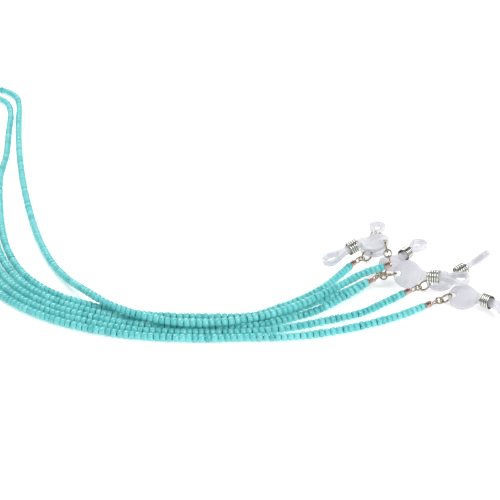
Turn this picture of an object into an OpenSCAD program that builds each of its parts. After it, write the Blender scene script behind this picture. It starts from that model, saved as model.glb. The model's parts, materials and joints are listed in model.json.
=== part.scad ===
// Three beaded eyeglass retainer straps, laid together in one bundle.
// Each strap is a string of seed beads with a clear silicone temple loop at both ends.
// Millimetres, +Z up. The straps lie on the plane z = 0, and the origin is
// under the middle of the six end fittings.

/* [Beads] */
// Outer diameter of the seed beads
bead_d = 3.0; // [2.6:0.1:3.1]
// Distance between two strings that lie side by side in the bundle
lane_gap = 3.3; // [3.2:0.1:3.6]

/* [Metal fittings] */
// Length of the crimp barrel on each string end
crimp_len = 3.0; // [2.5:0.1:4]
// Outer diameter of the crimp barrel
crimp_d = 2.3; // [1.8:0.1:2.6]
// Wire diameter of the eye that leaves the crimp
eye_wire = 0.44; // [0.3:0.02:0.5]
// Wire diameter of the link ring
link_wire = 0.6; // [0.4:0.02:0.7]
// Wire diameter of the end ring that goes through the silicone
ring_wire = 0.7; // [0.5:0.02:0.8]

/* [Silicone loops] */
// Diameter of the flat tab around the ring hole
tab_d = 10; // [8:0.2:10.4]
// Thickness of the flat tab
tab_t = 1.6; // [1.2:0.1:1.8]
// Diameter of the ring hole in the tab
hole_d = 2.2; // [2:0.1:2.4]
// Inner diameter of the loop that grips the temple arm
temple_d = 4; // [3:0.1:4.4]
// Width of the silicone strip, across the loop
strip_t = 2.2; // [1.8:0.1:2.4]

/* [Spring sliders] */
// Number of turns of the coil spring slider
turns = 6; // [4:1:7]
// Outer diameter of the coil spring slider
spring_d = 5; // [4.8:0.1:5.2]

/* [Hidden] */
$fn = 48;
table_z = bead_d / 2;     // height of a string that lies on the table
over_z = 5.0;             // height of a string that crosses another one

// ---- small vector and rotation helpers ----
function unit(v) = v / norm(v);
function turn_x(a) = [[1, 0, 0], [0, cos(a), -sin(a)], [0, sin(a), cos(a)]];
function turn_y(a) = [[cos(a), 0, sin(a)], [0, 1, 0], [-sin(a), 0, cos(a)]];
function turn_z(a) = [[cos(a), -sin(a), 0], [sin(a), cos(a), 0], [0, 0, 1]];
function columns(x, y, z) = [for (i = [0:2]) [x[i], y[i], z[i]]];
// A frame whose Z is n, and whose X is as near to x as it can be.
function frame_from(n, x) = let (u = unit(x - (x * n) * n)) columns(u, cross(n, u), n);
function reversed(list) = [for (i = [len(list) - 1:-1:0]) list[i]];
module place(rot, at) {
  multmatrix([for (i = [0:2]) concat(rot[i], at[i])]) children();
}

// ---- routes of the strings ----
// Middle line of the bundle, from near the fittings to the far left.
bundle = [
  [-60, -34.5], [-78, -35], [-96, -33.5], [-112, -29], [-127, -21.5], [-140, -10.5],
  [-150, 4], [-158, 24], [-164.5, 50], [-170, 80]
];
function bundle_way(i) =
  unit(bundle[min(i + 1, len(bundle) - 1)] - bundle[max(i - 1, 0)]);
// A string that keeps to one lane of the bundle. Lane 0 is at the front, lane 4 at the back.
function lane(k) = [
  for (i = [0:len(bundle) - 1])
    let (way = bundle_way(i), at = bundle[i] + [way.y, -way.x] * (k - 2) * lane_gap)
      [at.x, at.y, table_z]
];
function on_table(list) = [for (p = list) [p.x, p.y, table_z]];
// Puts the middle of the six fittings on the origin.
middle = [-2.95, 2.45, 0];
function centred(list) = [for (p = list) p - middle];

// Strap 1: one leg lies on top of the bundle and leaves it to the back, the other keeps lane 2.
route_1 = centred(concat(
  [
    [-13, -1.1, 5.4], [-21, -6, 5.2], [-28, -12.5, over_z], [-36, -20, over_z],
    [-45, -27.5, over_z], [-56, -33.5, over_z], [-70, -36.5, 4.4], [-84, -36.5, 4.4],
    [-97, -32.5, over_z], [-107, -26, over_z], [-116, -16.5, 4.6], [-125, -3, 2.2],
    [-133, 12, table_z], [-142, 36, table_z]
  ],
  on_table([
    [-152, 72], [-160, 108], [-166, 142], [-169, 161],
    [-173, 174], [-182, 183], [-193, 183], [-200, 173], [-199, 157], [-191, 135], [-181, 108]
  ]),
  reversed(lane(2)),
  on_table([[-48, -30], [-37, -24]]),
  [[-27, -16, 2.5], [-19.3, -10.3, 4.4]]
));
// Strap 2: lanes 4 and 3, with its fold inside the fold of strap 1.
route_2 = centred(concat(
  on_table([[-24, 6.5], [-28.5, -0.5], [-34, -8.5], [-42, -16.5], [-51, -23]]),
  lane(4),
  on_table([
    [-165, 104], [-168.5, 130], [-171.5, 152], [-176, 166], [-184, 173], [-192, 168], [-192, 154],
    [-184, 129], [-176, 104]
  ]),
  reversed(lane(3)),
  on_table([[-51, -27.5], [-43, -22.5], [-35, -17], [-27, -12], [-18.5, -4.8]])
));
// Strap 3: lanes 0 and 1, with its fold at the far left.
route_3 = centred(concat(
  on_table([[-1, -21.5], [-10, -27.5], [-21, -33], [-33, -37.5], [-46, -40.5]]),
  lane(0),
  on_table([
    [-188, 100], [-203, 120], [-216, 143], [-222, 158], [-219, 169], [-210, 172],
    [-203, 163], [-200, 145], [-190, 116]
  ]),
  reversed(lane(1)),
  on_table([[-46, -34.8], [-34, -30.5], [-23, -26], [-14, -19], [-7, -13]])
));

// ---- a string as one swept tube with eight sides ----
tube_sides = 8;
ring_gap = 9;             // distance between the rings of the tube, about
function steps(p, q) = max(1, round(norm(q - p) / ring_gap));
function between(p, q, r, s, t) =
  0.5 * (2 * q + (r - p) * t + (2 * p - 5 * q + 4 * r - s) * t * t
    + (3 * q - p - 3 * r + s) * t * t * t);
function smooth(pts) =
  let (n = len(pts), padded = concat([2 * pts[0] - pts[1]], pts, [2 * pts[n - 1] - pts[n - 2]]))
    concat(
      [for (i = [0:n - 2]) let (m = steps(pts[i], pts[i + 1])) for (j = [0:m - 1])
        between(padded[i], padded[i + 1], padded[i + 2], padded[i + 3], j / m)],
      [pts[n - 1]]
    );
module string_of_beads(route) {
  line = smooth(route);
  n = len(line);
  rings = [
    for (i = [0:n - 1])
      let (
        way = unit(line[min(i + 1, n - 1)] - line[max(i - 1, 0)]),
        side = unit(cross(way, [0, 0, 1])),
        up = cross(side, way)
      )
        for (k = [0:tube_sides - 1])
          let (a = 360 * (k + 0.5) / tube_sides)
            line[i] + bead_d / 2 * (cos(a) * side + sin(a) * up)
  ];
  walls = [
    for (i = [0:n - 2], k = [0:tube_sides - 1])
      let (m = (k + 1) % tube_sides, a = i * tube_sides, b = a + tube_sides)
        each [[a + k, b + m, b + k], [a + k, a + m, b + m]]
  ];
  caps = [
    [for (k = [tube_sides - 1:-1:0]) k],
    [for (k = [0:tube_sides - 1]) (n - 1) * tube_sides + k]
  ];
  color("mediumturquoise") polyhedron(rings, concat(walls, caps), convexity = 10);
}
module strand_1() string_of_beads(route_1);
module strand_2() string_of_beads(route_2);
module strand_3() string_of_beads(route_3);

// ---- where the six end fittings lie ----
// String end and the next point back along the string.
function first_two(r) = [r[0], r[1]];
function last_two(r) = [r[len(r) - 1], r[len(r) - 2]];
string_ends = [
  first_two(route_1), last_two(route_1),
  first_two(route_2), last_two(route_2),
  first_two(route_3), last_two(route_3)
];
// Middle of the ring hole of each silicone loop.
hole_at = centred([
  [-12, 7.3, 10.5], [-9.1, -10, 7.8], [-15.4, 13.2, 2.7], [-11, 3.4, 2.7], [9.2, -17.1, 3.1], [3, -8.4, 2.8]
]);
// Heading, rise and roll of each tab, in degrees.
tab_turn = [[158, -12, -10], [-14, 2, 57], [80, 0, 0], [52, 0, 0], [-15, 0, 28], [22, 8, 12]];
// Heading, rise and twist of the spring and loop against their tab, in degrees.
tail_turn = [[44, -4, 0], [0, 0, -50], [0, 0, 0], [0, 0, 0], [-30, 25, 0], [8, 12, -60]];

function tab_frame(i) =
  let (t = tab_turn[i]) turn_z(t[0]) * turn_y(-t[1]) * turn_x(t[2]);
function tail_frame(i) =
  let (t = tail_turn[i]) tab_frame(i) * turn_z(t[0]) * turn_y(-t[1]) * turn_x(t[2]);
function tail_at(i) = hole_at[i] + tab_frame(i) * [neck_x, 0, 0];

// Sizes of the rings and where they hook into each other.
eye_r = 1;                // radius of the eye, at the middle of its wire
ring_r = 2.1;             // radius of the end ring, at the middle of its wire
hook_gap = 0.12;          // play between two hooked rings
ring_back = 2.5;          // distance from the hole to the middle of the end ring
crimp_bore = 0.5;         // diameter of the hole in the crimp
function string_way(i) = unit(string_ends[i][0] - string_ends[i][1]);
// Where the wire bends, just outside the crimp.
wire_out = 0.3;
function crimp_mouth(i) = string_ends[i][0] + string_way(i) * (crimp_len + wire_out);
function hole_axis(i) = tab_frame(i) * [0, 0, 1];
// The end ring stands in the hole and swings until it faces the crimp.
function end_ring_normal(i) = unit(cross(hole_axis(i), hole_at[i] - crimp_mouth(i)));
function end_ring_at(i) = hole_at[i] - cross(end_ring_normal(i), hole_axis(i)) * ring_back;
// The wire of the eye bends at the mouth of the crimp, so eye, link and end ring line up.
function link_way(i) = unit(end_ring_at(i) - crimp_mouth(i));
// A sharper bend leaves more wire between the crimp and the eye.
function eye_neck(i) = 0.35 + 1.1 * (1 - string_way(i) * link_way(i));
function eye_at(i) = crimp_mouth(i) + link_way(i) * (eye_r + eye_neck(i));
// The two points where the link ring hooks in: inside the eye, and inside the end ring.
function eye_hook(i) =
  eye_at(i) + link_way(i) * (eye_r - eye_wire / 2 - hook_gap - link_wire / 2);
function ring_hook(i) =
  end_ring_at(i) - link_way(i) * (ring_r - ring_wire / 2 - hook_gap - link_wire / 2);
function link_r(i) = norm(ring_hook(i) - eye_hook(i)) / 2;
function link_at(i) = (ring_hook(i) + eye_hook(i)) / 2;
function link_normal(i) = cross(link_way(i), end_ring_normal(i));

// ---- metal fittings ----
module torus(r, wire) rotate_extrude() translate([r, 0]) circle(d = wire, $fn = 24);

// A crimped barrel with chamfered ends and a hole for the thread.
module crimp(i) {
  edge = 0.35;
  r = crimp_d / 2;
  color("rosybrown") place(frame_from(string_way(i), [0, 0, 1]), string_ends[i][0])
    rotate_extrude() polygon([
      [crimp_bore / 2, 0], [r - edge, 0], [r, edge], [r, crimp_len - edge],
      [r - edge, crimp_len], [crimp_bore / 2, crimp_len]
    ]);
}
// An eye of wire on a small ball of solder, with a stem that goes into the crimp.
module wire_eye(i) {
  stem = 1.5;
  color("silver") {
    place(frame_from(end_ring_normal(i), link_way(i)), eye_at(i)) torus(eye_r, eye_wire);
    translate(crimp_mouth(i)) sphere(d = eye_wire + 0.1, $fn = 24);
    place(frame_from(link_way(i), end_ring_normal(i)), crimp_mouth(i))
      cylinder(d = eye_wire - 0.08, h = eye_neck(i), $fn = 24);
    place(frame_from(string_way(i), [0, 0, 1]), crimp_mouth(i) - string_way(i) * stem)
      cylinder(d = eye_wire, h = stem, $fn = 24);
  }
}
module link_ring(i) color("silver")
  place(frame_from(link_normal(i), link_way(i)), link_at(i)) torus(link_r(i), link_wire);
module end_ring(i) color("silver")
  place(frame_from(end_ring_normal(i), [0, 0, 1]), end_ring_at(i)) torus(ring_r, ring_wire);

// ---- silicone loop ----
tab_x = 3.4;              // middle of the tab, from the ring hole
neck_x = 9.2;             // start of the neck, from the ring hole
neck_w = 2.8;             // width of the neck
neck_t = 2;               // thickness of the neck
neck_len = 7.4;           // straight length that the spring slides on
loop_x = 12.4;            // middle of the temple opening, from the start of the neck
loop_wall = 1.2;          // wall of the loop around the temple arm
slit_x = 8.4;             // where the two sides of the loop part
flank = 115;              // where the flanks meet the round end, degrees from the tip

// A round end at x, with straight flanks that run in to a narrow start.
module teardrop(start, start_w, x, r) {
  translate([x, 0]) circle(r = r);
  polygon([
    [start, start_w / 2], [x + r * cos(flank), r * sin(flank)], [x, 0],
    [x + r * cos(flank), -r * sin(flank)], [start, -start_w / 2]
  ]);
}
module silicone_loop(i) color("gainsboro") {
  place(tab_frame(i), hole_at[i]) difference() {
    union() {
      translate([tab_x, 0, -tab_t / 2]) cylinder(d = tab_d, h = tab_t);
      translate([0, 0, -tab_t / 2]) linear_extrude(tab_t)
        polygon([[tab_x + 2, 4.4], [neck_x, neck_w / 2], [neck_x, -neck_w / 2], [tab_x + 2, -4.4]]);
      translate([neck_x, 0, 0]) sphere(d = neck_w);
    }
    translate([0, 0, -tab_t]) cylinder(d = hole_d, h = 2 * tab_t);
  }
  place(tail_frame(i), tail_at(i)) {
    translate([0, -neck_w / 2, -neck_t / 2]) cube([neck_len + 1, neck_w, neck_t]);
    translate([0, 0, -strip_t / 2]) linear_extrude(strip_t) difference() {
      teardrop(neck_len, neck_w, loop_x, temple_d / 2 + loop_wall);
      teardrop(slit_x, 0.3, loop_x, temple_d / 2);
    }
  }
}

// ---- coil spring slider ----
spring_wire = 0.7;        // wire diameter of the spring
spring_start = 1;         // place of the spring on the neck at rest
spring_bore = 3.6;        // inner diameter, just wider than the neck's diagonal
module spring_slider(i) {
  pitch = 0.72;
  mid_r = spring_d / 2 - spring_wire / 2;
  color("silver") place(tail_frame(i), tail_at(i)) translate([spring_start, 0, 0]) rotate([0, 90, 0])
    rotate_extrude() {
      for (k = [0:turns - 1]) translate([mid_r, (k + 0.5) * pitch]) circle(d = spring_wire, $fn = 20);
      translate([spring_bore / 2, 0.1]) square([mid_r - spring_bore / 2, turns * pitch - 0.2]);
    }
}

module crimp_1() crimp(0);
module crimp_2() crimp(1);
module crimp_3() crimp(2);
module crimp_4() crimp(3);
module crimp_5() crimp(4);
module crimp_6() crimp(5);
module wire_eye_1() wire_eye(0);
module wire_eye_2() wire_eye(1);
module wire_eye_3() wire_eye(2);
module wire_eye_4() wire_eye(3);
module wire_eye_5() wire_eye(4);
module wire_eye_6() wire_eye(5);
module link_ring_1() link_ring(0);
module link_ring_2() link_ring(1);
module link_ring_3() link_ring(2);
module link_ring_4() link_ring(3);
module link_ring_5() link_ring(4);
module link_ring_6() link_ring(5);
module end_ring_1() end_ring(0);
module end_ring_2() end_ring(1);
module end_ring_3() end_ring(2);
module end_ring_4() end_ring(3);
module end_ring_5() end_ring(4);
module end_ring_6() end_ring(5);
module silicone_loop_1() silicone_loop(0);
module silicone_loop_2() silicone_loop(1);
module silicone_loop_3() silicone_loop(2);
module silicone_loop_4() silicone_loop(3);
module silicone_loop_5() silicone_loop(4);
module silicone_loop_6() silicone_loop(5);
module spring_slider_1() spring_slider(0);
module spring_slider_2() spring_slider(1);
module spring_slider_3() spring_slider(2);
module spring_slider_4() spring_slider(3);
module spring_slider_5() spring_slider(4);
module spring_slider_6() spring_slider(5);

strand_1();
strand_2();
strand_3();
crimp_1();
crimp_2();
crimp_3();
crimp_4();
crimp_5();
crimp_6();
wire_eye_1();
wire_eye_2();
wire_eye_3();
wire_eye_4();
wire_eye_5();
wire_eye_6();
link_ring_1();
link_ring_2();
link_ring_3();
link_ring_4();
link_ring_5();
link_ring_6();
end_ring_1();
end_ring_2();
end_ring_3();
end_ring_4();
end_ring_5();
end_ring_6();
silicone_loop_1();
silicone_loop_2();
silicone_loop_3();
silicone_loop_4();
silicone_loop_5();
silicone_loop_6();
spring_slider_1();
spring_slider_2();
spring_slider_3();
spring_slider_4();
spring_slider_5();
spring_slider_6();
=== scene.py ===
# %% [markdown]
# # Three beaded eyeglass straps
# Three strings of turquoise seed beads lie in one bundle on a white table. Each string ends in a
# crimp, a small chain of rings and a milky silicone loop with a coil spring on its neck. The solid
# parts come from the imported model, which fixes every size. This lesson gives them their shape close
# up and their finish.

# %% Load the fixed model
import bmesh
import bpy
import json
import math
import random
import numpy as np
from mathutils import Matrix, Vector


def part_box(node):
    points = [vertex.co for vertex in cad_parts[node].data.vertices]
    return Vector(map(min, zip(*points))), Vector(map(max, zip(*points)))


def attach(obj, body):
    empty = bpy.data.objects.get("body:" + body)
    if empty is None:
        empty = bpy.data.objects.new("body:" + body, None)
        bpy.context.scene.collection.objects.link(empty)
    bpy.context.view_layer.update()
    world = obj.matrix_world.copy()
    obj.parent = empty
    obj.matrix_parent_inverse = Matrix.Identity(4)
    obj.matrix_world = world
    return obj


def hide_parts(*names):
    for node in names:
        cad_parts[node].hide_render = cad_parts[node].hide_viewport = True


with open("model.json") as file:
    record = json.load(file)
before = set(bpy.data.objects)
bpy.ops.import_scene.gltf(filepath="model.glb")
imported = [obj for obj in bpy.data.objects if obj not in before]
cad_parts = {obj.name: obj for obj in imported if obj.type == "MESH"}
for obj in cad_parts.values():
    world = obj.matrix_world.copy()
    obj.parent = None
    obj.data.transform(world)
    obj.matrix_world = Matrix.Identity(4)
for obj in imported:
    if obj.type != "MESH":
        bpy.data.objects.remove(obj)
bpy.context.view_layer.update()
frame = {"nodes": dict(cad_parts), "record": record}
MM = 0.001

# %% [markdown]
# The camera looks down at the table from the front, with a long lens, so the far ends of the straps
# shrink only a little. A long lens from far away is how small goods are usually shown. The camera
# is placed by its height over the table and its tilt.

# %% Camera
camera_data = bpy.data.cameras.new("camera")
camera_data.lens = 86.4
camera_data.sensor_width = 36
camera_data.clip_start = 0.01
camera = bpy.data.objects.new("camera", camera_data)
bpy.context.scene.collection.objects.link(camera)
camera.location = (-57.05 * MM, -372.45 * MM, 211.88 * MM)
camera.rotation_euler = (math.radians(90 - 28.44), 0, 0)
bpy.context.scene.camera = camera
print("camera height", camera.location.z)

# %% [markdown]
# A strap is a string of beads, so its place is one smooth line on the table. The line is given by a
# few points, in millimetres, the same as in the solid model, and a curve through them fills in the
# rest. Points are easier to move than a drawn curve, and the curve never gets a kink.

# %% Lines of the straps
middle = np.array([-2.95, 2.45, 0])
table_z = 1.5
over_z = 5.0
lane_gap = 3.3
bundle = np.array([
    [-60, -34.5], [-78, -35], [-96, -33.5], [-112, -29], [-127, -21.5], [-140, -10.5],
    [-150, 4], [-158, 24], [-164.5, 50], [-170, 80],
])


def on_table(points):
    return [[x, y, table_z] for x, y in points]


def lane(k):
    """The bundle's middle line, moved sideways to lane k. Lane 0 is at the front."""
    last = len(bundle) - 1
    points = []
    for i in range(len(bundle)):
        way = bundle[min(i + 1, last)] - bundle[max(i - 1, 0)]
        way = way / np.linalg.norm(way)
        points.append(bundle[i] + np.array([way[1], -way[0]]) * (k - 2) * lane_gap)
    return on_table(points)


route_1 = [
    [-13, -1.1, 5.4], [-21, -6, 5.2], [-28, -12.5, over_z], [-36, -20, over_z],
    [-45, -27.5, over_z], [-56, -33.5, over_z], [-70, -36.5, 4.4], [-84, -36.5, 4.4],
    [-97, -32.5, over_z], [-107, -26, over_z], [-116, -16.5, 4.6], [-125, -3, 2.2],
    [-133, 12, table_z], [-142, 36, table_z],
] + on_table([
    [-152, 72], [-160, 108], [-166, 142], [-169, 161],
    [-173, 174], [-182, 183], [-193, 183], [-200, 173], [-199, 157], [-191, 135], [-181, 108],
]) + lane(2)[::-1] + on_table([[-48, -30], [-37, -24]]) + [[-27, -16, 2.5], [-19.3, -10.3, 4.4]]
route_2 = on_table([
    [-24, 6.5], [-28.5, -0.5], [-34, -8.5], [-42, -16.5], [-51, -23],
]) + lane(4) + on_table([
    [-165, 104], [-168.5, 130], [-171.5, 152], [-176, 166], [-184, 173], [-192, 168], [-192, 154],
    [-184, 129], [-176, 104],
]) + lane(3)[::-1] + on_table([[-51, -27.5], [-43, -22.5], [-35, -17], [-27, -12], [-18.5, -4.8]])
route_3 = on_table([
    [-1, -21.5], [-10, -27.5], [-21, -33], [-33, -37.5], [-46, -40.5],
]) + lane(0) + on_table([
    [-188, 100], [-203, 120], [-216, 143], [-222, 158], [-219, 169], [-210, 172],
    [-203, 163], [-200, 145], [-190, 116],
]) + lane(1)[::-1] + on_table([[-46, -34.8], [-34, -30.5], [-23, -26], [-14, -19], [-7, -13]])
print("route points:", len(route_1), len(route_2), len(route_3))


# %% Smooth line through the points
def smooth_line(points, step=1.5):
    """A curve through all the points, as points about one step apart, in metres."""
    pts = np.array(points, float) - middle
    pts = np.vstack([2 * pts[0] - pts[1], pts, 2 * pts[-1] - pts[-2]])
    line = []
    for p, q, r, s in zip(pts[:-3], pts[1:-2], pts[2:-1], pts[3:]):
        count = max(1, round(np.linalg.norm(r - q) / step))
        for j in range(count):
            t = j / count
            line.append(0.5 * (2 * q + (r - p) * t + (2 * p - 5 * q + 4 * r - s) * t * t
                               + (3 * q - p - 3 * r + s) * t ** 3))
    line.append(pts[-2])
    return np.array(line) * MM


def line_length(line):
    return float(np.linalg.norm(np.diff(line, axis=0), axis=1).sum())


strap_lines = [smooth_line(route) for route in (route_1, route_2, route_3)]
for number, line in enumerate(strap_lines, 1):
    print("strap", number, "is", round(line_length(line) / MM), "mm long")


# %% [markdown]
# Finishes are node materials. A few small helpers keep each recipe short: one makes a material, one
# adds a node with its settings, one adds soft noise at a real size in millimetres, and one adds
# small bumps. All noise is placed by the object's own coordinates, so it stays on the piece.

# %% Small helpers for finishes
def new_finish(name):
    finish = bpy.data.materials.new(name)
    finish.use_nodes = True
    shader = finish.node_tree.nodes["Principled BSDF"]
    return finish, finish.node_tree, shader


def add_node(tree, kind, **settings):
    node = tree.nodes.new(kind)
    for key, value in settings.items():
        setattr(node, key, value)
    return node


def noise_mm(tree, size, detail=3.0, rough=0.5):
    """Noise whose blotches are about this many millimetres across."""
    place = add_node(tree, "ShaderNodeTexCoord")
    noise = add_node(tree, "ShaderNodeTexNoise")
    noise.inputs["Scale"].default_value = 1000 / size
    noise.inputs["Detail"].default_value = detail
    noise.inputs["Roughness"].default_value = rough
    tree.links.new(place.outputs["Object"], noise.inputs["Vector"])
    return noise.outputs["Fac"]


def ramp(tree, source, stops):
    """Turns a number into a colour by a list of (place, colour) stops."""
    node = add_node(tree, "ShaderNodeValToRGB")
    while len(node.color_ramp.elements) < len(stops):
        node.color_ramp.elements.new(0.5)
    for element, (place, colour) in zip(node.color_ramp.elements, stops):
        element.position = place
        element.color = (*colour, 1)
    tree.links.new(source, node.inputs["Fac"])
    return node.outputs["Color"]


def spread(tree, source, low, high):
    """Turns noise into a number between low and high."""
    node = add_node(tree, "ShaderNodeMapRange")
    node.inputs["From Min"].default_value = 0.3
    node.inputs["From Max"].default_value = 0.7
    node.inputs["To Min"].default_value = low
    node.inputs["To Max"].default_value = high
    tree.links.new(source, node.inputs["Value"])
    return node.outputs["Result"]


def bumps(tree, shader, height, depth_mm, strength=1.0):
    node = add_node(tree, "ShaderNodeBump")
    node.inputs["Distance"].default_value = depth_mm * MM
    node.inputs["Strength"].default_value = strength
    tree.links.new(height, node.inputs["Height"])
    tree.links.new(node.outputs["Normal"], shader.inputs["Normal"])


print("finish helpers ready")

# %% [markdown]
# The beads are opaque turquoise glass with a soft gloss. Each one was cut from its own bit of cane,
# so no two have quite the same tone. Every bead carries a number, its tone, and the ramp turns the
# number into a colour. Fine noise adds clouds in the glass and small bumps break up the highlight.

# %% Bead glass
bead_glass, tree, shader = new_finish("bead_glass")
tone = add_node(tree, "ShaderNodeAttribute", attribute_name="tone")
clouds = noise_mm(tree, 1.4, 4, 0.6)
mixed = add_node(tree, "ShaderNodeMath", operation="MULTIPLY_ADD")
mixed.inputs[1].default_value = 0.22
tree.links.new(clouds, mixed.inputs[0])
tree.links.new(tone.outputs["Fac"], mixed.inputs[2])
bead_colour = ramp(tree, mixed.outputs[0], [
    (0.10, (0.080, 0.500, 0.510)), (0.40, (0.140, 0.635, 0.640)),
    (0.70, (0.205, 0.715, 0.715)), (1.0, (0.310, 0.800, 0.800)),
])
tree.links.new(bead_colour, shader.inputs["Base Color"])
tree.links.new(spread(tree, noise_mm(tree, 0.9), 0.16, 0.28), shader.inputs["Roughness"])
shader.inputs["Subsurface Weight"].default_value = 0.12
shader.inputs["Subsurface Radius"].default_value = (0.4, 1.0, 1.0)
shader.inputs["Subsurface Scale"].default_value = 0.0008
shader.inputs["IOR"].default_value = 1.52
shader.inputs["Coat Weight"].default_value = 0.35
shader.inputs["Coat Roughness"].default_value = 0.10
bumps(tree, shader, noise_mm(tree, 0.8, 2), 0.03, 0.25)
print("made", bead_glass.name)

# %% [markdown]
# The thread inside the beads is a thin twisted nylon line. It hardly shows, only in the narrow gaps
# where the string bends. Fine noise varies its colour and small bumps break up its surface.

# %% Thread finish
thread_nylon, tree, shader = new_finish("thread_nylon")
tree.links.new(ramp(tree, noise_mm(tree, 0.5), [
    (0.3, (0.03, 0.20, 0.20)), (0.7, (0.08, 0.36, 0.34)),
]), shader.inputs["Base Color"])
shader.inputs["Roughness"].default_value = 0.6
bumps(tree, shader, noise_mm(tree, 0.3), 0.05, 0.6)
print("made", thread_nylon.name)


# %% [markdown]
# A piece here is a mesh made from lists of points and faces. The first helper turns the lists into
# an object that rides on a body of the model. The second one sweeps a round wire along a line, and
# is used for the thread, the rings and the springs.

# %% Meshes from points
def make_piece(name, points, faces, finish, body):
    mesh = bpy.data.meshes.new(name)
    mesh.from_pydata([tuple(map(float, p)) for p in points], [], [tuple(map(int, f)) for f in faces])
    mesh.materials.append(finish)
    mesh.polygons.foreach_set("use_smooth", [True] * len(mesh.polygons))
    mesh.update()
    piece = bpy.data.objects.new(name, mesh)
    bpy.context.scene.collection.objects.link(piece)
    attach(piece, body)
    return piece


def unit(v):
    v = np.asarray(v, float)
    return v / np.linalg.norm(v)


def carried_frames(line):
    """Directions along, across and up at each point of a line, turned as little as possible."""
    ways = np.gradient(line, axis=0)
    ways /= np.linalg.norm(ways, axis=1)[:, None]
    across = unit(np.cross(ways[0], [0.12, 0.17, 1]))
    out = []
    for way in ways:
        across = unit(across - way * (across @ way))
        out.append((way, across, np.cross(way, across)))
    return out


def sweep(line, radius, sides=12):
    """A round wire along a line with closed ends. Gives its points and faces."""
    line = np.asarray(line, float)
    turn = np.arange(sides) * 2 * math.pi / sides
    points = []
    for at, (way, across, up) in zip(line, carried_frames(line)):
        points.extend(at + radius * (np.outer(np.cos(turn), across) + np.outer(np.sin(turn), up)))
    faces = []
    for i in range(len(line) - 1):
        for k in range(sides):
            m = (k + 1) % sides
            faces.append((i * sides + k, i * sides + m, (i + 1) * sides + m, (i + 1) * sides + k))
    faces.append(tuple(range(sides - 1, -1, -1)))
    faces.append(tuple((len(line) - 1) * sides + k for k in range(sides)))
    return points, faces


print("mesh helpers ready")


# %% [markdown]
# A seed bead is a short ring of glass with round shoulders and a hole, a little wider than it is
# long. It could be a torus, but a torus is too thin at the shoulders. Here the section is an oval,
# a little pointed, turned around the thread. Each bead gets its own width, length, tilt and tone.

# %% String the beads
BEAD_R = 1.5 * MM
HOLE_R = 0.42 * MM
THREAD_R = 0.36 * MM
SHORTEST, LONGEST = 1.85 * MM, 2.25 * MM
SLIMMEST = 0.88
CROOKED = 0.20 * MM
SHOULDER = 1.18
AROUND = 16
SECTION = 10


def bead_section(half_length, outer):
    """Points of the section: place along the thread, and distance from it."""
    a = (np.arange(SECTION) + 0.5) * 2 * math.pi / SECTION
    along = half_length * np.sign(np.cos(a)) * np.abs(np.cos(a)) ** SHOULDER
    mid = (outer + HOLE_R) / 2
    away = mid + (outer - HOLE_R) / 2 * np.sign(np.sin(a)) * np.abs(np.sin(a)) ** SHOULDER
    return along, away * (outer / away.max())


def string_beads(name, line, seed, number):
    """One string of beads on its thread."""
    chance = random.Random(seed)
    total = line_length(line)
    lengths = []
    while sum(lengths) < total:
        lengths.append(chance.uniform(SHORTEST, LONGEST))
    lengths = np.array(lengths) * total / sum(lengths)
    distance = np.concatenate([[0], np.cumsum(np.linalg.norm(np.diff(line, axis=0), axis=1))])
    centres = np.cumsum(lengths) - lengths / 2
    at, ahead, behind = (
        np.stack([np.interp(centres + shift, distance, line[:, k]) for k in range(3)], axis=1)
        for shift in (0, MM, -MM))
    turn = np.arange(AROUND) * 2 * math.pi / AROUND
    points, faces, tones = [], [], []
    grid = np.arange(AROUND * SECTION).reshape(SECTION, AROUND)
    quads = np.stack([grid, np.roll(grid, -1, 1), np.roll(np.roll(grid, -1, 1), -1, 0),
                      np.roll(grid, -1, 0)], axis=-1).reshape(-1, 4)
    for i in range(len(lengths)):
        tilt = np.array([chance.uniform(-1, 1) for _ in range(3)]) * CROOKED
        way = unit(ahead[i] - behind[i] + tilt)
        across = unit(np.cross(way, [0, 0, 1]))
        up = np.cross(across, way)
        outer = BEAD_R * chance.uniform(SLIMMEST, 1.0)
        oval = chance.uniform(0.96, 1.0)
        along, away = bead_section(lengths[i] * 0.5 * chance.uniform(0.94, 1.02), outer)
        ring = np.outer(np.cos(turn), across) * oval + np.outer(np.sin(turn), up)
        body = at[i] + along[:, None, None] * way + away[:, None, None] * ring[None]
        faces.extend((quads + len(points)).tolist())
        points.extend(body.reshape(-1, 3))
        tones.extend([chance.betavariate(3, 3) * 0.75] * AROUND * SECTION)
    beads = make_piece(name, points, faces, bead_glass, "strings")
    tone_data = beads.data.attributes.new("tone", "FLOAT", "POINT")
    tone_data.data.foreach_set("value", tones)
    thread_points, thread_faces = sweep(line[::2], THREAD_R, 8)
    thread = make_piece(f"thread_{number}", thread_points, thread_faces, thread_nylon,
                        "strings")
    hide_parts(f"strand_{number}")
    print(name, "has", len(lengths), "beads")


FIRST_SEED = 41
for number, line in enumerate(strap_lines, 1):
    string_beads(f"bead_string_{number}", line, FIRST_SEED + number - 1, number)

# %% [markdown]
# The six end fittings are built in their own frames. The joints of the model already say where each
# ring turns and which way each tab faces, so every place is read from the record and none is typed.

# %% Read the frames of the fittings
joint = {j["name"]: j for j in frame["record"]["behaviour"]["joints"]}
mount = {m["name"]: m for m in frame["record"]["mounts"]}
NECK_X = 9.2 * MM
LOOP_X = 12.4 * MM
WIRE_IN_HOLE = 0.4 * MM
RING_R = 2.1 * MM


def joint_place(name):
    return np.array(joint[name]["pos_m"], float), unit(joint[name]["axis"])


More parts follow.
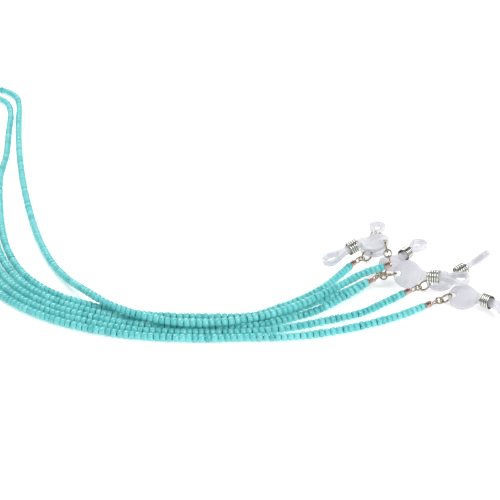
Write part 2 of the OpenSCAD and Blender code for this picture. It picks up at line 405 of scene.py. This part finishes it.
def fitting_frame(k):
    """Where fitting k lies: its tab, its tail and the middles of its rings."""
    eye_wire, link_normal = joint_place(f"link_swing_{k}")
    ring_hook, ring_normal = joint_place(f"ring_swing_{k}")
    in_hole, tab_z = joint_place(f"loop_swing_{k}")
    loop_middle = np.array(mount[f"temple_loop_{k}"]["pos_m"], float)
    tail_z = unit(mount[f"temple_loop_{k}"]["axis"])
    tail_x = unit(joint[f"spring_slide_{k}"]["axis"])
    to_ring = -np.cross(ring_normal, tab_z)
    hole = in_hole - to_ring * WIRE_IN_HOLE
    tail_at = loop_middle - tail_x * LOOP_X
    tab_x = unit(tail_at - hole)
    return {
        "hole": hole, "tab": (tab_x, np.cross(tab_z, tab_x), tab_z),
        "tail_at": tail_at, "tail": (tail_x, np.cross(tail_z, tail_x), tail_z),
        "ring_middle": hole + to_ring * (WIRE_IN_HOLE + RING_R), "ring_normal": ring_normal,
        "to_ring": to_ring, "link_normal": link_normal, "eye_wire": eye_wire, "ring_hook": ring_hook,
    }


fittings = {k: fitting_frame(k) for k in range(1, 7)}
tab_lengths = [float(np.linalg.norm(f["tail_at"] - f["hole"])) / MM for f in fittings.values()]
print("tab lengths", [round(length, 2) for length in tab_lengths])

# %% [markdown]
# Three metals come first: a warm steel on the rings, thin bright wire at the eyes and rose-silver
# plate on the crimps. Each is a metal shader with its own tint, cloudy
# roughness and fine scratches. Stretched noise would give brushed metal; these are drawn and plated.


# %% Metal finishes
def plated(name, dark, light, rough_low, rough_high, scratch):
    finish, tree, shader = new_finish(name)
    tree.links.new(ramp(tree, noise_mm(tree, 1.1, 5, 0.6), [(0.35, dark), (0.65, light)]),
                   shader.inputs["Base Color"])
    tree.links.new(spread(tree, noise_mm(tree, 0.6, 4), rough_low, rough_high),
                   shader.inputs["Roughness"])
    shader.inputs["Metallic"].default_value = 1.0
    bumps(tree, shader, noise_mm(tree, 0.25, 2), scratch, 0.35)
    return finish


ring_steel = plated("ring_steel", (0.30, 0.25, 0.17), (0.54, 0.48, 0.37), 0.16, 0.30, 0.006)
eye_steel = plated("eye_steel", (0.34, 0.27, 0.22), (0.56, 0.48, 0.41), 0.14, 0.28, 0.004)
crimp_plate = plated("crimp_plate", (0.42, 0.28, 0.24), (0.68, 0.52, 0.47), 0.20, 0.36, 0.010)
print("made three metals")


# %% [markdown]
# A jump ring is a bit of wire bent round until its ends meet, so it has a fine cut. A full torus
# would do from afar. Here the wire is swept around almost a full turn, and the narrow gap that is
# left is the cut. It sits on the side that carries no load.

# %% Jump rings
LINK_WIRE = 0.6 * MM
RING_WIRE = 0.7 * MM
RING_CUT = 0.05 * MM


def jump_ring(name, middle_at, normal, start, radius, wire, body):
    """A ring of wire with its cut at the start direction."""
    normal = unit(normal)
    start = unit(start - normal * (start @ normal))
    side = np.cross(normal, start)
    cut = RING_CUT / radius
    turn = np.linspace(cut, 2 * math.pi - cut, 73)
    line = middle_at + radius * (np.outer(np.cos(turn), start) + np.outer(np.sin(turn), side))
    points, faces = sweep(line, wire / 2, 14)
    piece = make_piece(name, points, faces, ring_steel, body)
    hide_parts(body)


for k, f in fittings.items():
    low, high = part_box(f"link_ring_{k}")
    link_middle = (np.array(low) + np.array(high)) / 2
    link_way = unit(f["ring_middle"] - f["eye_wire"])
    hook_side = f["ring_hook"] - link_middle
    jump_ring(f"jump_ring_link_{k}", link_middle, f["link_normal"],
              np.cross(f["link_normal"], link_way), float(np.linalg.norm(hook_side)),
              LINK_WIRE, f"link_ring_{k}")
    jump_ring(f"jump_ring_end_{k}", f["ring_middle"], f["ring_normal"],
              np.cross(f["ring_normal"], f["to_ring"]), RING_R, RING_WIRE, f"end_ring_{k}")
print("made twelve jump rings")

# %% [markdown]
# The crimp is a small tube of soft metal pressed flat onto the thread. It has a rolled lip at each
# end, two dents from the tool, and a seam along one side. All of it is one profile turned around
# the string, with the radius changed a little by angle and place. The wire eye that leaves the
# crimp keeps its solid from the model and only gets the wire finish.

# %% Crimps and eyes
CRIMP_R = 1.15 * MM
CRIMP_LEN = 3.0 * MM
CRIMP_BORE = 0.25 * MM
MOUTH = 0.72
LIP = 0.10
DENT = 0.16
SEAM = 0.10
string_ends = []
for line in strap_lines:
    string_ends.append((line[0], unit(line[0] - line[4])))
    string_ends.append((line[-1], unit(line[-1] - line[-5])))


def pressed_crimp(start, way):
    """A tube with a lip at each end, dents from the tool and a seam."""
    across = unit(np.cross(way, [0, 0, 1]))
    up = np.cross(across, way)
    steps, around = 25, 40
    points, faces = [], []
    profile = [(0.0, CRIMP_BORE), (0.0, CRIMP_R * MOUTH)]
    for s in np.linspace(0.02, 0.98, steps):
        lip = max(math.exp(-((s - 0.06) / 0.07) ** 2), math.exp(-((s - 0.94) / 0.07) ** 2))
        profile.append((s * CRIMP_LEN, CRIMP_R * (1 - LIP + LIP * lip)))
    profile += [(CRIMP_LEN, CRIMP_R * MOUTH), (CRIMP_LEN, CRIMP_BORE)]
    for along, radius in profile:
        for a in np.arange(around) * 2 * math.pi / around:
            s = along / CRIMP_LEN
            dent = DENT * math.exp(-((s - 0.5) / 0.2) ** 2) * max(0, math.cos(2 * a)) ** 2
            seam = SEAM * math.exp(-(((a - 2.2) / 0.09) ** 2))
            r = radius * (1 - dent - seam) if radius > CRIMP_BORE else radius
            points.append(start + way * along + across * math.cos(a) * r + up * math.sin(a) * r)
    rows = len(profile)
    for i in range(rows):
        for j in range(around):
            a, b = i * around, ((i + 1) % rows) * around
            m = (j + 1) % around
            faces.append((a + j, a + m, b + m, b + j))
    return points, faces


for k, (start, way) in enumerate(string_ends, 1):
    points, faces = pressed_crimp(start, way)
    piece = make_piece(f"pressed_crimp_{k}", points, faces, crimp_plate, "strings")
    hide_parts(f"crimp_{k}")
    eye = frame["nodes"][f"wire_eye_{k}"]
    eye.data.materials.clear()
    eye.data.materials.append(eye_steel)
print("pressed", len(string_ends), "crimps of", round(CRIMP_LEN / MM, 1), "mm")

# %% [markdown]
# The silicone loop is cast in one piece: a flat round tab with a hole, a narrow neck and an open
# loop. Its outline is drawn flat as a filled curve with a thickness, and its caps are welded to its
# sides. It is then turned into an even mesh, softened at its edges, made thinner towards the rim of
# the tab, and bent at the neck from the tab's frame to the tail's. Bending a dense mesh keeps the
# soft look that a jointed solid lacks.


# %% Outline of the silicone loop
def closed_smooth(points, step, rounds):
    """Even points along a closed outline, with its corners softened."""
    pts = np.array(points + [points[0]], float)
    d = np.concatenate([[0], np.cumsum(np.linalg.norm(np.diff(pts, axis=0), axis=1))])
    count = int(d[-1] / step)
    s = np.arange(count) * d[-1] / count
    out = np.stack([np.interp(s, d, pts[:, 0]), np.interp(s, d, pts[:, 1])], axis=1)
    for _ in range(rounds):
        out = 0.5 * out + 0.25 * (np.roll(out, 1, 0) + np.roll(out, -1, 0))
    return out


def arc(x, y, r, start, end, count=40):
    a = np.radians(np.linspace(start, end, count))
    return [[x + r * math.cos(t), y + r * math.sin(t)] for t in a]


TAB_AT, TAB_R = 3.4, 4.9
NECK_HALF, NECK_START, NECK_END = 1.4, 9.0, 16.8
LOOP_AT, LOOP_OUT, LOOP_IN = 21.6, 3.1, 2.0
SLIT_START, SLIT_HALF = 17.8, 0.18
HOLE_OPEN = 1.15
SPACING = 0.25
outer_outline = closed_smooth(
    [[NECK_END, NECK_HALF], [NECK_START, NECK_HALF]] + arc(TAB_AT, 0, TAB_R, 52, 308, 60)
    + [[NECK_START, -NECK_HALF], [NECK_END, -NECK_HALF]]
    + arc(LOOP_AT, 0, LOOP_OUT, -115, 115, 40), SPACING, 10)
hole_outline = closed_smooth(arc(0, 0, HOLE_OPEN, 0, 350, 36), SPACING, 1)
slit_outline = closed_smooth(
    [[SLIT_START, SLIT_HALF], [SLIT_START, -SLIT_HALF]]
    + arc(LOOP_AT, 0, LOOP_IN, -115, 115, 40), SPACING, 2)
print("outline points", len(outer_outline), len(hole_outline), len(slit_outline))


# %% Cast the silicone loop flat
def flat_casting():
    """The loop as a flat even mesh, in millimetres. Gives its points and faces."""
    curve = bpy.data.curves.new("loop_outline", "CURVE")
    curve.dimensions = "2D"
    curve.fill_mode = "BOTH"
    curve.extrude = 1.0
    for outline in (outer_outline, hole_outline, slit_outline):
        spline = curve.splines.new("POLY")
        spline.points.add(len(outline) - 1)
        spline.points.foreach_set("co", [c for x, y in outline for c in (x, y, 0, 1)])
        spline.use_cyclic_u = True
    casting = bpy.data.objects.new("loop_outline", curve)
    bpy.context.scene.collection.objects.link(casting)
    bpy.context.view_layer.update()
    flat = bpy.data.meshes.new_from_object(casting)
    bpy.data.objects.remove(casting)
    welded = bmesh.new()
    welded.from_mesh(flat)
    bmesh.ops.remove_doubles(welded, verts=welded.verts, dist=0.001)
    bmesh.ops.recalc_face_normals(welded, faces=welded.faces)
    open_edges = sum(1 for edge in welded.edges if len(edge.link_faces) != 2)
    welded.to_mesh(flat)
    welded.free()
    print("open edges before the remesh:", open_edges)
    solid = bpy.data.objects.new("loop_solid", flat)
    bpy.context.scene.collection.objects.link(solid)
    even = solid.modifiers.new("even", "REMESH")
    even.mode = "VOXEL"
    even.voxel_size = 0.16
    soft = solid.modifiers.new("soft", "SMOOTH")
    soft.factor = 0.5
    soft.iterations = 14
    graph = bpy.context.evaluated_depsgraph_get()
    mesh = bpy.data.meshes.new_from_object(solid.evaluated_get(graph))
    bpy.data.objects.remove(solid)
    points = np.array([v.co[:] for v in mesh.vertices])
    faces = [tuple(p.vertices) for p in mesh.polygons]
    return points, faces


casting_points, casting_faces = flat_casting()
print("casting has", len(casting_points), "points, thickness", np.ptp(casting_points[:, 2]).round(2))


# %% Bend the casting into its frames
def ease(x, low, high):
    t = np.clip((x - low) / (high - low), 0, 1)
    return t * t * (3 - 2 * t)


def shaped_thickness(points):
    """Thin towards the rim of the tab, full at the neck, a little thicker around the loop."""
    x, y = points[:, 0], points[:, 1]
    out = points.copy()
    rim = np.clip(np.hypot(x - TAB_AT, y) / 5, 0, 1) ** 2
    tab = 0.80 - 0.16 * rim
    scale = tab + (1.0 - tab) * ease(x, 6.5, 9.5)
    scale = scale + 0.1 * ease(x, 16.5, 19)
    out[:, 2] *= scale
    return out


def placed_loop(f):
    """The casting's points, bent at the neck of one fitting, in metres."""
    points = shaped_thickness(casting_points)
    neck = NECK_X / MM
    tab = np.array(f["tab"])
    tail = np.array(f["tail"])
    in_tab = f["hole"] + points @ tab * MM
    from_neck = points - np.array([neck, 0, 0])
    in_tail = f["tail_at"] + from_neck @ tail * MM
    share = ease(points[:, 0], neck - 2.2, neck + 0.9)[:, None]
    mixed = []
    for s, p in zip(share[:, 0], from_neck):
        axes = [unit(tab[0] * (1 - s) + tail[0] * s), unit(tab[1] * (1 - s) + tail[1] * s)]
        axes[1] = unit(axes[1] - axes[0] * (axes[0] @ axes[1]))
        axes.append(np.cross(axes[0], axes[1]))
        mixed.append(f["tail_at"] + (p @ np.array(axes)) * MM)
    mixed = np.array(mixed)
    near_tab = ease(points[:, 0], neck - 2.6, neck - 1.0)[:, None]
    near_tail = ease(points[:, 0], neck + 0.2, neck + 1.2)[:, None]
    out = in_tab * (1 - near_tab) + mixed * near_tab
    return out * (1 - near_tail) + in_tail * near_tail


print("bend helper ready")

# %% [markdown]
# Silicone of this kind is milky: light goes in, scatters a little and comes out softened. Glass
# would be too hard and white plastic too solid, so the surface is partly see-through and light
# scatters under it. Where pieces overlap, the layers add up. Broad noise makes thicker and thinner
# clouds, and a very soft bump keeps the skin from looking machined.

# %% Silicone finish
silicone, tree, shader = new_finish("milky_silicone")
tree.links.new(ramp(tree, noise_mm(tree, 4.5, 4, 0.55), [
    (0.30, (0.66, 0.66, 0.71)), (0.55, (0.72, 0.72, 0.76)), (0.75, (0.79, 0.78, 0.82)),
]), shader.inputs["Base Color"])
tree.links.new(spread(tree, noise_mm(tree, 2.2, 3), 0.24, 0.34), shader.inputs["Roughness"])
shader.inputs["Alpha"].default_value = 0.58
shader.inputs["IOR"].default_value = 1.41
shader.inputs["Subsurface Weight"].default_value = 0.5
shader.inputs["Subsurface Radius"].default_value = (1.0, 1.0, 1.0)
shader.inputs["Subsurface Scale"].default_value = 0.0008
bumps(tree, shader, noise_mm(tree, 3.5, 1), 0.04, 0.15)
print("made", silicone.name)

# %% Place the six silicone loops
for k, f in fittings.items():
    piece = make_piece(f"temple_loop_{k}", placed_loop(f), casting_faces, silicone,
                       f"silicone_loop_{k}")
    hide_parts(f"silicone_loop_{k}")
print("placed six silicone loops")

# %% [markdown]
# The slider is a closely wound coil of plated wire around the neck. Pushed towards the glasses it
# squeezes the loop on the temple arm. A stack of tori would hide the winding, so the wire is swept
# along a real helix, and its cut ends show. Light and shade are painted into the plate: every point
# carries a value for how far out on the wire it lies, and a ramp turns it into a painted highlight on
# the crests and painted shade in the grooves.

# %% Spring finish
spring_plate, tree, shader = new_finish("spring_plate")
# Painted light: this value is high on the crests of the coil and low in the grooves, for a painted
# highlight and painted shade.
painted_crest_light_node = add_node(tree, "ShaderNodeAttribute", attribute_name="painted_crest_light")
# Real cloudy tone from noise, added to the painted crest highlight and groove shade.
clouds_and_painted_crest_light = add_node(tree, "ShaderNodeMath", operation="MULTIPLY_ADD")
clouds_and_painted_crest_light.inputs[1].default_value = 0.30
tree.links.new(noise_mm(tree, 1.2, 4), clouds_and_painted_crest_light.inputs[0])
tree.links.new(painted_crest_light_node.outputs["Fac"], clouds_and_painted_crest_light.inputs[2])
# The dark stop is painted shade in the grooves and the bright stop a painted highlight on the crests.
tree.links.new(ramp(tree, clouds_and_painted_crest_light.outputs[0], [
    (0.25, (0.10, 0.09, 0.065)), (0.62, (0.34, 0.33, 0.27)), (0.95, (0.80, 0.79, 0.74)),
]), shader.inputs["Base Color"])
tree.links.new(spread(tree, noise_mm(tree, 0.6, 4), 0.14, 0.26), shader.inputs["Roughness"])
shader.inputs["Metallic"].default_value = 1.0
bumps(tree, shader, noise_mm(tree, 0.25, 2), 0.004, 0.35)
print("made", spring_plate.name)

# %% Coil springs
SPRING_R = 2.5 * MM
SPRING_WIRE = 0.60 * MM
SPRING_LEN = 4.32 * MM
SPRING_START = 1.0 * MM
TURNS = 4.75
SIDES = 12
helix = np.linspace(0, TURNS * 2 * math.pi, 260)
wire_middle = SPRING_R - 0.35 * MM
for k, f in fittings.items():
    x_axis, y_axis, z_axis = f["tail"]
    first = SPRING_START + SPRING_WIRE / 2
    run = SPRING_LEN - SPRING_WIRE
    along = first + run * helix / helix[-1]
    line = (f["tail_at"] + np.outer(along, x_axis)
            + wire_middle * (np.outer(np.cos(helix + k), y_axis) + np.outer(np.sin(helix + k), z_axis)))
    points, faces = sweep(line, SPRING_WIRE / 2, SIDES)
    piece = make_piece(f"coil_spring_{k}", points, faces, spring_plate,
                       f"spring_slider_{k}")
    out_from_axis = np.array(points) - f["tail_at"]
    out_from_axis -= np.outer(out_from_axis @ x_axis, x_axis)
    reach = np.linalg.norm(out_from_axis, axis=1)
    # 1 on the outer crests of the wire, for a painted highlight; 0 towards the grooves and the inside,
    # for painted shade.
    painted_crest_light = np.clip((reach - wire_middle) / (SPRING_WIRE / 2), 0, 1)
    painted_crest_light_data = piece.data.attributes.new("painted_crest_light", "FLOAT", "POINT")
    painted_crest_light_data.data.foreach_set("value", painted_crest_light.astype(np.float32))
    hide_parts(f"spring_slider_{k}")
print("wound six springs of", TURNS, "turns")

# %% [markdown]
# The table is a plain, nearly white matt surface. It only has to catch the soft shadows under the
# beads. A faint broad noise keeps it from being one dead tone, and a low glow, like that of a light
# table, lifts the shadows.

# %% Table
table_paint, tree, shader = new_finish("table_paint")
tree.links.new(ramp(tree, noise_mm(tree, 180, 2), [
    (0.3, (0.93, 0.93, 0.93)), (0.7, (0.96, 0.96, 0.96)),
]), shader.inputs["Base Color"])
shader.inputs["Roughness"].default_value = 0.9
shader.inputs["Specular IOR Level"].default_value = 0.1
shader.inputs["Emission Color"].default_value = (1, 1, 1, 1)
shader.inputs["Emission Strength"].default_value = 0.35
half = 4.0
corners = [(-half, -half, 0), (half, -half, 0), (half, half, 0), (-half, half, 0)]
table_mesh = bpy.data.meshes.new("table")
table_mesh.from_pydata(corners, [], [(0, 1, 2, 3)])
table_mesh.materials.append(table_paint)
table = bpy.data.objects.new("table", table_mesh)
bpy.context.scene.collection.objects.link(table)
print("table is", 2 * half, "m wide")

# %% [markdown]
# The light is that of a small white tent: broad and soft from above and behind, weaker from the
# front. Plated metal needs something dark to mirror or it looks like white plastic, so the sky is a
# ramp from bright at the horizon to dark overhead, and big soft lamps light the table.

# %% Light
world = bpy.data.worlds.new("tent")
bpy.context.scene.world = world
world.use_nodes = True
tree = world.node_tree
background = tree.nodes["Background"]
place = add_node(tree, "ShaderNodeTexCoord")
split = add_node(tree, "ShaderNodeSeparateXYZ")
tree.links.new(place.outputs["Generated"], split.inputs["Vector"])
tree.links.new(ramp(tree, split.outputs["Z"], [
    (0.0, (0.95, 0.95, 0.95)), (0.22, (0.80, 0.80, 0.80)), (0.45, (0.30, 0.30, 0.31)),
    (0.95, (0.10, 0.10, 0.11)),
]), background.inputs["Color"])
background.inputs["Strength"].default_value = 0.65
bpy.context.scene.view_settings.view_transform = "Standard"


AIM = (-0.08, 0.05, 0)


def soft_lamp(name, at, size, watts):
    """A square lamp at a place, turned towards the middle of the straps."""
    data = bpy.data.lights.new(name, "AREA")
    data.shape = "SQUARE"
    data.size = size
    data.energy = watts
    lamp = bpy.data.objects.new(name, data)
    bpy.context.scene.collection.objects.link(lamp)
    lamp.location = at
    way = np.array(at, float) - np.array(AIM, float)
    tilt = math.acos(way[2] / np.linalg.norm(way))
    lamp.rotation_euler = (tilt, 0, math.atan2(way[1], way[0]) + math.pi / 2)


soft_lamp("lamp_back", (-0.35, 0.85, 1.0), 1.0, 11)
soft_lamp("lamp_front", (0.45, -0.75, 1.0), 0.8, 12)
soft_lamp("lamp_left", (-1.1, 0.1, 0.8), 1.1, 3)
print("three lamps and a tent")
